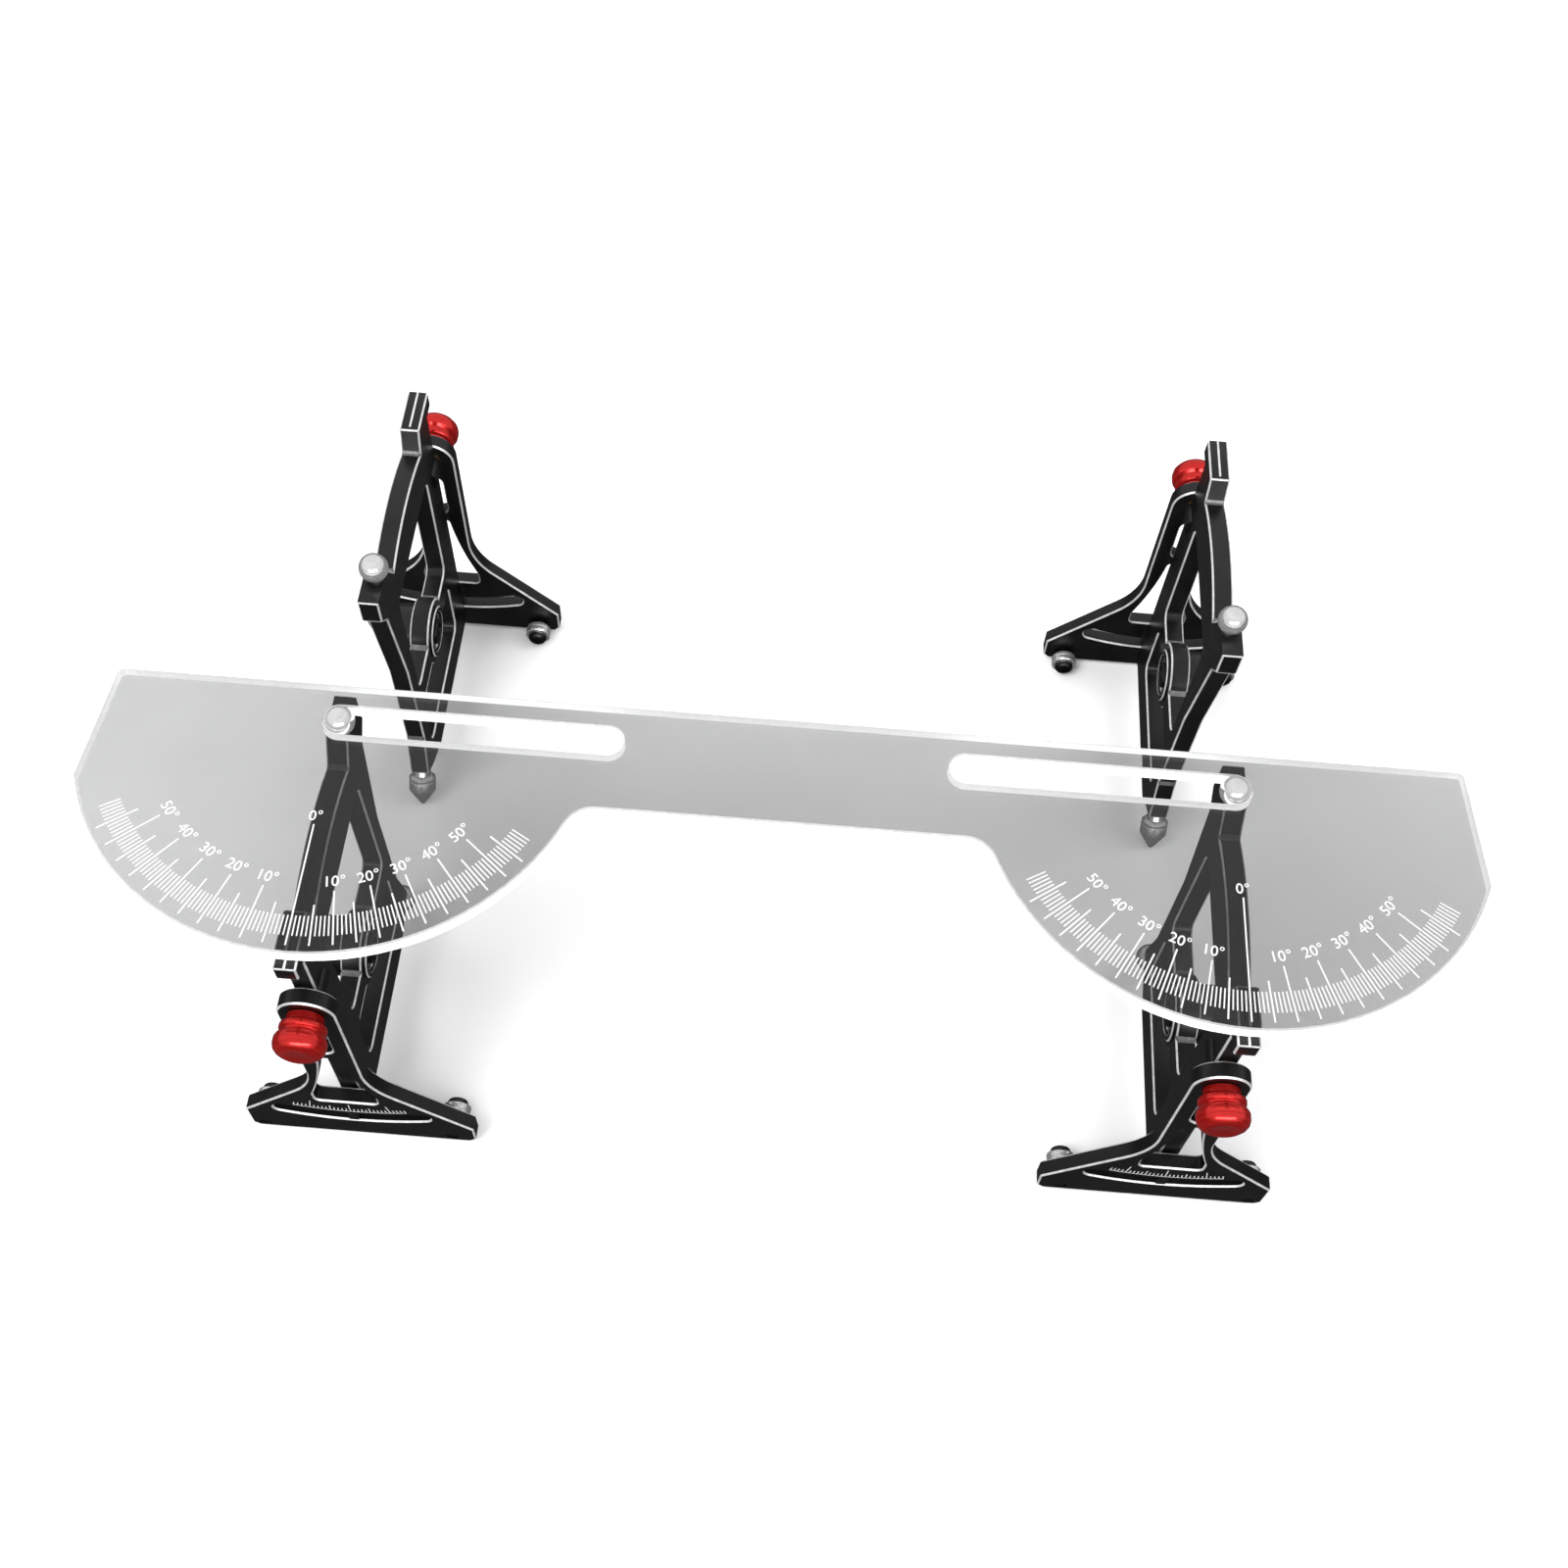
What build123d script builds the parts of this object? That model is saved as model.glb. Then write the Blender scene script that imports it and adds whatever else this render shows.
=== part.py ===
from build123d import *
from math import cos, radians, sin, tan
import os

# A camber, caster and toe gauge set for model cars: four free-standing stands and one clear toe gauge.
# Sizes are millimetres.  A stand is drawn in its own frame: X points inboard, towards the car, Y runs
# from the toe pin to the camber gauge, Z is up and the floor is Z = 0.

# Where the toe pins of the four stands are
front_pin_x = 100.0
front_pin_y = -23.7
rear_left_pin = (-100.5, 19.4)
rear_right_pin = (102.2, 23.7)

# Clearances
running_gap = 0.05
seat_gap = 0.2
fixed_gap = 0.01

# Toe gauge, a plate with a dial around each front toe pin
gauge_top = 100.0
gauge_thickness = 4.0
dial_radius = 57.6
dial_end_angle = 19.5
end_slant = 2.6
back_edge = 9.3
waist_edge = 17.5
waist_fillet = 7.0
gauge_corner_radius = 1.5
gauge_edge_chamfer = 0.4
slot_width = 7.2
slot_travel = 60.0

# Toe pin
ball_clearance = 0.1
ball_drop = 0.6
pin_neck_radius = 1.8
pin_stem_radius = 1.25
pin_stem_length = 9.0
pin_seat_gap = 0.05

# Upright, a plate standing in the YZ plane
upright_thickness = 5.0
upright_middle_x = -0.5
edge_chamfer = 0.4
nose_reach = 8.0
nose_depth = 7.0
seat_length = 10.5
shoulder_y = 7.0
shoulder_drop = 6.8
crest_rise = 2.8
blade_overhang = -0.4
blade_length = 13.1
blade_slope = 2.0
blade_depth = 4.6
blade_gap = 0.4
toe_side_y = 0.0
throat_y = -4.5
throat_drop = 10.8
waist_height = 56.0
ankle_height = 25.0
toe_rail_edge = 5.5
end_rail_width = 10.8
top_rail_width = 10.5
hub_rail_above = 3.5
hub_rail_below = 4.0
lower_window_sill = 15.5
window_corner = 2.5
upright_bottom = 5.0
leg_heel_y = 7.5
leg_end_half = 2.9

# Foot, a steel point that leans outward from the end of the leg
foot_tip_y = -6.4
foot_lean = 32.5
foot_length = 10.8
foot_radius = 3.65
foot_neck_radius = 2.4
foot_neck_length = 1.6
foot_shoulder_chamfer = 0.7
foot_cone_angle = 35.0
foot_tip_radius = 0.8
foot_tip_flat = 0.05
foot_stem_radius = 1.25
foot_stem_length = 7.0

# Bearing housing and axle adapter
hub_y = 26.5
hub_height = 38.0
hub_boss_radius = 9.0
housing_radius = 7.0
housing_outboard = 7.0
housing_lip = 0.8
housing_rim_chamfer = 0.6
housing_shoulder = 0.8
bearing_outer_radius = 5.5
bearing_bore_radius = 3.5
bearing_width = 3.0
bearing_inset = 0.6
bearing_chamfer = 0.3
axle_radius = 2.5
adapter_flange_radius = 4.6
adapter_flange_width = 1.4
adapter_flange_chamfer = 0.3
adapter_tail = 0.4

# Camber gauge, a plate standing in the XZ plane
camber_front_y = 60.0
camber_thickness = 4.0
camber_gap = 0.7
pivot_height = 73.0
pivot_boss_radius = 6.5
camber_neck_half = 6.6
camber_inner_half = 29.4
camber_outer_half = 26.9
camber_bottom = 1.2
camber_flare_radius = 18.4
camber_bottom_corner = 1.5
keyhole_drop = 6.5
keyhole_length = 14.5
keyhole_half = 2.4
bell_gap = 3.0
bell_bottom = 21.5
bell_top_half = 2.1
bell_bottom_half = 7.6
bell_mid_half = 3.9
bell_waist = 0.53
bell_skirt = 4.0
bell_corner = 1.4
bell_shoulder_radius = 1.5
arc_slot_height = 14.0
arc_slot_width = 4.2
arc_slot_half_angle = 16.5
arc_slot_end_wall = 6.6

# Pointer of the upright that reads the camber scale through the arc slot
pointer_half_width = 1.2
pointer_gap = 0.4

# Pivot stud, bush and lock knob
stud_radius = 1.5
stud_boss_radius = 3.3
stud_boss_length = 6.0
stud_root = 7.0
stud_tip = 6.0
drill_spare = 0.2
bush_radius = 2.6
bush_flange_radius = 3.2
bush_flange_thickness = 0.4
knob_gap = 0.2
knob_neck_radius = 4.2
knob_neck_length = 1.8
knob_ring_radius = 5.3
knob_ring_length = 2.2
knob_groove_depth = 0.6
knob_groove_length = 0.9
knob_ring_slope = 0.3
knob_body_radius = 5.9
knob_body_length = 4.6
knob_front_chamfer = 1.3

# Rollers under the ends of the camber gauge
roller_x = 23.5
roller_radius = 3.5
roller_width = 3.0
roller_spacer = 1.2
roller_screw_radius = 1.5
roller_collar_radius = 2.3
roller_head_radius = 2.6
roller_head_height = 1.5
roller_head_round = 1.2
roller_screw_inset = 0.3
roller_chamfer = 0.3

# Sizes that follow
gauge_underside = gauge_top - gauge_thickness
seat_height = gauge_underside - seat_gap
ball_radius = slot_width / 2 - ball_clearance
ball_height = gauge_top - ball_drop
camber_back_y = camber_front_y - camber_thickness
upright_end_y = camber_back_y - camber_gap
blade_top = gauge_underside - blade_gap
blade_end_y = camber_front_y + blade_overhang
blade_start_y = blade_end_y - blade_length
blade_foot_y = blade_start_y - blade_slope
shoulder_height = seat_height - shoulder_drop
throat_height = seat_height - throat_drop
window_left_y = toe_rail_edge
window_right_y = upright_end_y - end_rail_width
upper_window_top = shoulder_height - top_rail_width
upper_window_sill = hub_height + hub_rail_above
lower_window_top = hub_height - hub_rail_below
keyhole_top = pivot_height - keyhole_drop
keyhole_bottom = keyhole_top - keyhole_length
bell_top = keyhole_bottom - bell_gap
bell_mid_height = bell_bottom + bell_skirt + bell_waist * (bell_top - bell_bottom - bell_skirt)
arc_slot_inner_radius = pivot_height - arc_slot_height
arc_slot_outer_radius = arc_slot_inner_radius + arc_slot_width
arc_slot_middle_radius = arc_slot_inner_radius + arc_slot_width / 2
arc_slot_end_x = arc_slot_middle_radius * sin(radians(arc_slot_half_angle))
arc_slot_end_height = pivot_height - arc_slot_middle_radius * cos(radians(arc_slot_half_angle))
camber_slope_foot = arc_slot_end_x + arc_slot_end_height + arc_slot_end_wall
outboard_face_x = upright_middle_x - upright_thickness / 2
inboard_face_x = upright_middle_x + upright_thickness / 2
housing_left_x = outboard_face_x - housing_outboard
housing_right_x = inboard_face_x + housing_lip
left_bearing_x = housing_left_x + bearing_inset
right_bearing_x = housing_right_x - bearing_inset - bearing_width
roller_y = camber_back_y - roller_spacer - roller_width
foot_axis_y = sin(radians(foot_lean))
foot_axis_z = cos(radians(foot_lean))
foot_axis = (0, foot_axis_y, foot_axis_z)
foot_start_y = foot_tip_y - foot_tip_radius * foot_axis_y
foot_start_height = foot_tip_radius - foot_tip_flat - foot_tip_radius * foot_axis_z
leg_end_y = foot_start_y + foot_length * foot_axis_y
leg_end_height = foot_start_height + foot_length * foot_axis_z


def rod(start, direction, radius, length):
    """A plain cylinder from a start point."""
    return Plane(origin=start, z_dir=direction) * Cylinder(
        radius, length, align=(Align.CENTER, Align.CENTER, Align.MIN))


def ring(start, direction, outer, inner, width, edge):
    """A plain ring with its outer edges broken."""
    band = Cylinder(outer, width, align=(Align.CENTER, Align.CENTER, Align.MIN))
    band = chamfer(band.edges().filter_by(GeomType.CIRCLE), edge)
    band -= Cylinder(inner, 3 * width)
    return Plane(origin=start, z_dir=direction) * band


def rounded_window(left, right, bottom, top, corner):
    width = right - left
    height = top - bottom
    return Pos((left + right) / 2, (bottom + top) / 2) * RectangleRounded(width, height, corner)


def toe_gauge():
    """The outline of one half, seen from above with Y = 0 on the line of the slots, and its mirror."""
    end_angle = radians(dial_end_angle)
    dial_end = (front_pin_x + dial_radius * cos(end_angle), -dial_radius * sin(end_angle))
    back_corner = (dial_end[0] - end_slant, back_edge)
    waist_x = front_pin_x - (dial_radius**2 - waist_edge**2) ** 0.5
    waist = (waist_x, -waist_edge)
    half = make_face([
        Polyline((0, back_edge), back_corner, dial_end),
        ThreePointArc(dial_end, (front_pin_x, -dial_radius), waist),
        Polyline(waist, (0, -waist_edge), (0, back_edge))])
    plate = half + mirror(half, about=Plane.YZ)
    waist_corners = plate.vertices().filter_by_position(Axis.Y, -waist_edge - 0.1, -waist_edge + 0.1)
    plate = fillet([v for v in waist_corners if abs(abs(v.X) - waist_x) < 0.1], waist_fillet)
    back_corners = [v for v in plate.vertices() if abs(v.Y - back_edge) < 0.1 and abs(v.X) > 1]
    plate = fillet(back_corners, gauge_corner_radius)
    for side in (-1, 1):
        middle = side * (front_pin_x - slot_travel / 2)
        plate -= Pos(middle, 0) * SlotCenterToCenter(slot_travel, slot_width)
    solid = extrude(plate, gauge_thickness)
    flat_edges = solid.edges().filter_by(lambda e: e.center().Z < 0.01 or e.center().Z > gauge_thickness - 0.01)
    solid = chamfer(flat_edges, gauge_edge_chamfer)
    return Pos(0, front_pin_y, gauge_underside) * solid


def toe_pin():
    """The ball that runs in the slot of the toe gauge, on a stem in the nose of the upright."""
    neck_bottom = seat_height + pin_seat_gap
    ball = Pos(0, 0, ball_height) * Sphere(ball_radius)
    neck = rod((0, 0, neck_bottom), (0, 0, 1), pin_neck_radius, ball_height - neck_bottom)
    stem = rod((0, 0, neck_bottom - pin_stem_length), (0, 0, 1), pin_stem_radius, pin_stem_length)
    return ball + neck + stem


def foot():
    """A turned steel point: stem, neck, cylinder and a cone with a round tip, flat where it meets the floor."""
    slope = radians(foot_cone_angle)
    tip_edge = (foot_tip_radius * cos(slope), foot_tip_radius * (1 - sin(slope)))
    tip_turn = (radians(90) - slope) / 2
    tip_middle = (foot_tip_radius * sin(tip_turn), foot_tip_radius * (1 - cos(tip_turn)))
    cone_top = tip_edge[1] + (foot_radius - tip_edge[0]) / tan(slope)
    shoulder = foot_length - foot_neck_length
    stem_end = foot_length + foot_stem_length
    outline = make_face([
        ThreePointArc((0, 0), tip_middle, tip_edge),
        Polyline(
            tip_edge,
            (foot_radius, cone_top),
            (foot_radius, shoulder - foot_shoulder_chamfer),
            (foot_radius - foot_shoulder_chamfer, shoulder),
            (foot_neck_radius, shoulder),
            (foot_neck_radius, foot_length),
            (foot_stem_radius, foot_length),
            (foot_stem_radius, stem_end),
            (0, stem_end),
            (0, 0))])
    turned = revolve(Plane.XZ * outline, Axis.Z, 360)
    start = (upright_middle_x, foot_start_y, foot_start_height)
    turned = Plane(origin=start, x_dir=(1, 0, 0), z_dir=foot_axis) * turned
    below_floor = Box(2 * foot_radius, 2 * foot_radius, foot_radius, align=(Align.CENTER, Align.CENTER, Align.MAX))
    return turned - Pos(upright_middle_x, foot_tip_y, 0) * below_floor


def upright():
    """The side plate with its two windows, nose, blade, hub boss, leg and camber pointer."""
    mid_y = (shoulder_y + blade_foot_y) / 2
    crest = ThreePointArc(
        (shoulder_y, shoulder_height),
        (mid_y, shoulder_height + crest_rise),
        (blade_foot_y, shoulder_height))
    leg_inner = (leg_end_y + leg_end_half * foot_axis_z, leg_end_height - leg_end_half * foot_axis_y)
    leg_outer = (leg_end_y - leg_end_half * foot_axis_z, leg_end_height + leg_end_half * foot_axis_y)
    rest = Polyline(
        (blade_foot_y, shoulder_height),
        (blade_start_y, blade_top),
        (blade_end_y, blade_top),
        (blade_end_y, blade_top - blade_depth),
        (upright_end_y, blade_top - blade_depth),
        (upright_end_y, upright_bottom),
        (leg_heel_y, upright_bottom),
        leg_inner,
        leg_outer,
        (toe_side_y, ankle_height),
        (toe_side_y, waist_height),
        (throat_y, throat_height),
        (-nose_reach, seat_height - nose_depth),
        (-nose_reach, seat_height),
        (seat_length - nose_reach, seat_height),
        (shoulder_y, shoulder_height))
    face = make_face([crest, rest])
    face -= rounded_window(window_left_y, window_right_y, upper_window_sill, upper_window_top, window_corner)
    face -= rounded_window(window_left_y, window_right_y, lower_window_sill, lower_window_top, window_corner)
    face += Pos(hub_y, hub_height) * Circle(hub_boss_radius)
    plate = Plane.YZ * extrude(face, upright_thickness / 2, both=True)
    # the edges round the seat of the toe pin stay sharp
    sides = plate.edges().filter_by(lambda e: abs(abs(e.center().X) - upright_thickness / 2) < 0.01)
    seat_edges = [e for e in sides if e.center().Z > seat_height - 0.01 and e.center().Y < seat_length - nose_reach]
    plate = chamfer([e for e in sides if e not in seat_edges], edge_chamfer)
    plate = Pos(upright_middle_x, 0, 0) * plate
    # a round boss on the end edge carries the pivot stud
    plate += rod((0, upright_end_y - stud_boss_length, pivot_height), (0, 1, 0), stud_boss_radius, stud_boss_length)
    # the pointer
    pointer_top = pivot_height - arc_slot_inner_radius - pointer_gap
    pointer_bottom = pivot_height - arc_slot_outer_radius + pointer_gap
    pointer = Box(
        2 * pointer_half_width, camber_front_y - upright_end_y + 1, pointer_top - pointer_bottom,
        align=(Align.CENTER, Align.MIN, Align.MIN))
    plate += Pos(0, upright_end_y - 1, pointer_bottom) * pointer
    # holes for the toe pin, foot, pivot stud and bearing housing
    stem_bottom = seat_height - pin_stem_length
    plate -= rod((0, 0, stem_bottom), (0, 0, 1), pin_stem_radius + running_gap, 2 * pin_stem_length)
    plate -= rod((upright_middle_x, leg_end_y, leg_end_height), foot_axis, foot_stem_radius + fixed_gap,
                 foot_stem_length + drill_spare)
    plate -= rod((0, upright_end_y - stud_root - drill_spare, pivot_height), (0, 1, 0), stud_radius + fixed_gap,
                 2 * stud_root)
    plate -= rod((-2 * upright_thickness, hub_y, hub_height), (1, 0, 0), housing_radius + fixed_gap,
                 4 * upright_thickness)
    return plate


def bearing_housing():
    length = housing_right_x - housing_left_x
    body = Cylinder(housing_radius, length, align=(Align.CENTER, Align.CENTER, Align.MIN))
    body = chamfer(body.edges().filter_by(GeomType.CIRCLE), housing_rim_chamfer)
    body -= Cylinder(bearing_outer_radius - housing_shoulder, 3 * length)
    seat = Cylinder(bearing_outer_radius + fixed_gap, bearing_inset + bearing_width,
                    align=(Align.CENTER, Align.CENTER, Align.MIN))
    body -= seat
    body -= Pos(0, 0, length - bearing_inset - bearing_width) * seat
    return Plane(origin=(housing_left_x, hub_y, hub_height), z_dir=(1, 0, 0)) * body


def hub_bearings():
    pair = [
        ring((x, hub_y, hub_height), (1, 0, 0), bearing_outer_radius, bearing_bore_radius, bearing_width,
             bearing_chamfer)
        for x in (left_bearing_x, right_bearing_x)]
    return Compound(children=pair)


def axle_adapter():
    """A sleeve that turns in the bearings, with a flange on the outside and the axle bore through it."""
    flange = left_bearing_x - seat_gap
    end = housing_right_x + adapter_tail
    sleeve = rod((flange, hub_y, hub_height), (1, 0, 0), bearing_bore_radius - running_gap, end - flange)
    collar = ring((flange - adapter_flange_width, hub_y, hub_height), (1, 0, 0), adapter_flange_radius,
                  axle_radius / 2, adapter_flange_width, adapter_flange_chamfer)
    bore = rod((flange - 2 * adapter_flange_width, hub_y, hub_height), (1, 0, 0), axle_radius, 2 * (end - flange))
    return sleeve + collar - bore


def camber_half(half_width):
    """One half of the outline, from the top of the pivot boss round to the middle of the bottom edge."""
    slope = radians(45)
    end_height = camber_slope_foot - half_width
    flare_end_x = camber_neck_half + camber_flare_radius * (1 - cos(slope))
    flare_low = camber_slope_foot - flare_end_x
    flare_high = flare_low + camber_flare_radius * sin(slope)
    bend = (
        camber_neck_half + camber_flare_radius * (1 - cos(slope / 2)),
        flare_high - camber_flare_radius * sin(slope / 2))
    boss_top = (0, pivot_height + pivot_boss_radius)
    boss_shoulder = (pivot_boss_radius * sin(slope), pivot_height + pivot_boss_radius * cos(slope))
    boss_side = (pivot_boss_radius, pivot_height)
    corner_side = (half_width, camber_bottom + camber_bottom_corner)
    corner_foot = (half_width - camber_bottom_corner, camber_bottom)
    return make_face([
        ThreePointArc(boss_top, boss_shoulder, boss_side),
        Line(boss_side, (camber_neck_half, flare_high)),
        ThreePointArc((camber_neck_half, flare_high), bend, (flare_end_x, flare_low)),
        Polyline(
            (flare_end_x, flare_low),
            (half_width, end_height),
            corner_side,
            corner_foot,
            (0, camber_bottom),
            boss_top)])


def bell_window():
    half = make_face([
        Line((0, bell_top), (bell_top_half, bell_top)),
        ThreePointArc(
            (bell_top_half, bell_top),
            (bell_mid_half, bell_mid_height),
            (bell_bottom_half, bell_bottom + bell_skirt)),
        Line((bell_bottom_half, bell_bottom + bell_skirt), (bell_bottom_half, bell_bottom)),
        Line((bell_bottom_half, bell_bottom), (0, bell_bottom)),
        Line((0, bell_bottom), (0, bell_top))])
    window = half + mirror(half, about=Plane.YZ)
    corners = [v for v in window.vertices() if abs(v.Y - bell_bottom) < 0.01 and abs(v.X) > 1]
    window = fillet(corners, bell_corner)
    shoulders = [v for v in window.vertices() if abs(v.Y - bell_top) < 0.01 and abs(v.X) > 1]
    return fillet(shoulders, bell_shoulder_radius)


def arc_slot():
    """A slot along an arc about the pivot, with round ends."""
    path = ThreePointArc(
        (-arc_slot_end_x, arc_slot_end_height),
        (0, pivot_height - arc_slot_middle_radius),
        (arc_slot_end_x, arc_slot_end_height))
    return SlotArc(path, arc_slot_width)


def camber_gauge():
    """The tee-shaped plate that hangs on the pivot and stands on two rollers."""
    face = camber_half(camber_inner_half) + mirror(camber_half(camber_outer_half), about=Plane.YZ)
    keyhole_middle = (keyhole_bottom + keyhole_top) / 2
    keyhole = Pos(0, keyhole_middle) * Rot(0, 0, 90) * SlotOverall(keyhole_top - keyhole_bottom, 2 * keyhole_half)
    face -= keyhole
    face -= bell_window()
    face -= arc_slot()
    solid = extrude(face, camber_thickness)
    flat = solid.edges().filter_by(lambda e: e.center().Z < 0.01 or e.center().Z > camber_thickness - 0.01)
    solid = chamfer(flat, edge_chamfer)
    plate = Plane(origin=(0, camber_front_y, 0), x_dir=(1, 0, 0), z_dir=(0, -1, 0)) * solid
    drill_start = camber_back_y - camber_thickness
    plate -= rod((0, drill_start, pivot_height), (0, 1, 0), bush_radius + fixed_gap, 3 * camber_thickness)
    for side in (-1, 1):
        plate -= rod((side * roller_x, drill_start, roller_radius), (0, 1, 0), roller_screw_radius + fixed_gap,
                     3 * camber_thickness)
    return plate


def pivot_bush():
    flange = rod((0, camber_back_y - bush_flange_thickness, pivot_height), (0, 1, 0), bush_flange_radius,
                 bush_flange_thickness)
    sleeve = rod((0, camber_back_y, pivot_height), (0, 1, 0), bush_radius, camber_thickness)
    bore = rod((0, camber_back_y - camber_thickness, pivot_height), (0, 1, 0), stud_radius + running_gap,
               3 * camber_thickness)
    return flange + sleeve - bore


def pivot_stud():
    start = upright_end_y - stud_root
    return rod((0, start, pivot_height), (0, 1, 0), stud_radius, camber_front_y + knob_gap + stud_tip - start)


def lock_knob():
    """A turned knob with grooves round it, on the outer end of the pivot stud."""
    neck_end = knob_neck_length
    ring_end = neck_end + knob_ring_length
    groove_end = ring_end + knob_groove_length
    body_end = groove_end + knob_body_length
    groove_radius = knob_ring_radius - knob_groove_depth
    bore = stud_radius + running_gap
    points = [
        (0, bore),
        (0, knob_neck_radius),
        (neck_end, knob_neck_radius),
        (neck_end + knob_ring_slope, knob_ring_radius),
        (ring_end, knob_ring_radius),
        (ring_end + knob_ring_slope, groove_radius),
        (groove_end - knob_ring_slope, groove_radius),
        (groove_end, knob_body_radius),
        (body_end - knob_front_chamfer, knob_body_radius),
        (body_end, knob_body_radius - knob_front_chamfer),
        (body_end, 0),
        (stud_tip + drill_spare, 0),
        (stud_tip + drill_spare, bore)]
    outline = make_face(Polyline(*[(radius, z) for z, radius in points], close=True))
    knob = revolve(Plane.XZ * outline, Axis.Z, 360)
    return Plane(origin=(0, camber_front_y + knob_gap, pivot_height), z_dir=(0, 1, 0)) * knob


def roller(side):
    return ring((side * roller_x, roller_y, roller_radius), (0, 1, 0), roller_radius,
                roller_screw_radius + running_gap, roller_width, roller_chamfer)


def roller_screws():
    """Two button-head screws: the head keeps the roller, the shank ends flush in the camber gauge."""
    screws = []
    for side in (-1, 1):
        x = side * roller_x
        head_end = roller_y - seat_gap
        head = rod((x, head_end - roller_head_height, roller_radius), (0, 1, 0), roller_head_radius,
                   roller_head_height)
        head = fillet(head.edges().filter_by(GeomType.CIRCLE).sort_by(Axis.Y)[0], roller_head_round)
        shank = rod((x, head_end, roller_radius), (0, 1, 0), roller_screw_radius,
                    camber_front_y - roller_screw_inset - head_end)
        spacer = rod((x, roller_y + roller_width + seat_gap, roller_radius), (0, 1, 0), roller_collar_radius,
                     roller_spacer - seat_gap)
        screws.append(head + shank + spacer)
    return Compound(children=screws)


# Every stand is the same set of pieces, turned or mirrored into its corner
corners = {
    "front_left": lambda piece: Pos(-front_pin_x, front_pin_y) * mirror(piece, about=Plane.XZ),
    "front_right": lambda piece: Pos(front_pin_x, front_pin_y) * Rot(0, 0, 180) * piece,
    "rear_left": lambda piece: Pos(*rear_left_pin) * piece,
    "rear_right": lambda piece: Pos(*rear_right_pin) * mirror(piece, about=Plane.YZ),
}

stand_pieces = {
    "upright": upright(),
    "toe_pin": toe_pin(),
    "foot": foot(),
    "bearing_housing": bearing_housing(),
    "hub_bearings": hub_bearings(),
    "axle_adapter": axle_adapter(),
    "camber_gauge": camber_gauge(),
    "pivot_bush": pivot_bush(),
    "pivot_stud": pivot_stud(),
    "lock_knob": lock_knob(),
    "roller_inner": roller(1),
    "roller_outer": roller(-1),
    "roller_screws": roller_screws(),
}

os.makedirs("parts", exist_ok=True)
export_step(toe_gauge(), "parts/toe_gauge.step")
for corner, place in corners.items():
    for name, piece in stand_pieces.items():
        export_step(place(piece), f"parts/{corner}_{name}.step")
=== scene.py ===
import math

import bmesh
import bpy
from mathutils import Matrix, Vector


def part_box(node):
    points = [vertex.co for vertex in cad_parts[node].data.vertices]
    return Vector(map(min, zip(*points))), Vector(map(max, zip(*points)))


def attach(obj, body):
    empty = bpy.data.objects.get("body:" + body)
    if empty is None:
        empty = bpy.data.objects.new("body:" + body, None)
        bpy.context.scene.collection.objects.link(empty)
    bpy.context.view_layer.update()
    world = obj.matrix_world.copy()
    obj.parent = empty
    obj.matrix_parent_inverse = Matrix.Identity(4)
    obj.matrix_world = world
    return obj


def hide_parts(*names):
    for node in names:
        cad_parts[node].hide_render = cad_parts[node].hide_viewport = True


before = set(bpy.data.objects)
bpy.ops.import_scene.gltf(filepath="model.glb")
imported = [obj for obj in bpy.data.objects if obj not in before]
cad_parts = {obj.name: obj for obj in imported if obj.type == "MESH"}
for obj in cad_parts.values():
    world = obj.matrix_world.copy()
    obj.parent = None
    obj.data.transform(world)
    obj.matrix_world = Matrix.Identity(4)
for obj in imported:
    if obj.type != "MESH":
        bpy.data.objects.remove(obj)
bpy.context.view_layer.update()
mm = 0.001
corners = ("front_left", "front_right", "rear_left", "rear_right")
print("frame loaded")

# camera at the viewing angle of the photograph
cameraView = {"place": (0.003003, -0.237313, 0.440170), "turn": (31.136, -1.955, 4.074), "lens": 41.497,
              "sensor": 36}
cameraData = bpy.data.cameras.new("camera")
cameraData.lens = cameraView["lens"]
cameraData.sensor_width = cameraView["sensor"]
camera = bpy.data.objects.new("camera", cameraData)
camera.location = cameraView["place"]
camera.rotation_euler = [math.radians(a) for a in cameraView["turn"]]
bpy.context.scene.collection.objects.link(camera)
bpy.context.scene.camera = camera
print("camera placed")


def pinCentre(corner):
    low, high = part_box(corner + "_toe_pin")
    return (low.x + high.x) / 2, (low.y + high.y) / 2


# every stand is drawn once: x towards the car, y from the toe pin to the camber gauge, z up
standPlace = {}
for corner in corners:
    inboard = 1 if "left" in corner else -1
    onward = -1 if "front" in corner else 1
    mirrored = Matrix.Diagonal((inboard, onward, 1, 1))
    standPlace[corner] = Matrix.Translation((*pinCentre(corner), 0)) @ mirrored


# materials: each follows a noise on Object coordinates, and depths of relief are in millimetres
def startMaterial(name):
    material = bpy.data.materials.new(name)
    material.use_nodes = True
    nodes = material.node_tree.nodes
    links = material.node_tree.links
    shader = nodes["Principled BSDF"]
    coords = nodes.new("ShaderNodeTexCoord")
    return material, nodes, links, shader, coords


def addNoise(nodes, links, coords, scale, detail, stretch=(1, 1, 1)):
    mapping = nodes.new("ShaderNodeMapping")
    mapping.inputs["Scale"].default_value = stretch
    noise = nodes.new("ShaderNodeTexNoise")
    noise.inputs["Scale"].default_value = scale
    noise.inputs["Detail"].default_value = detail
    links.new(coords.outputs["Object"], mapping.inputs["Vector"])
    links.new(mapping.outputs["Vector"], noise.inputs["Vector"])
    return noise


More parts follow.
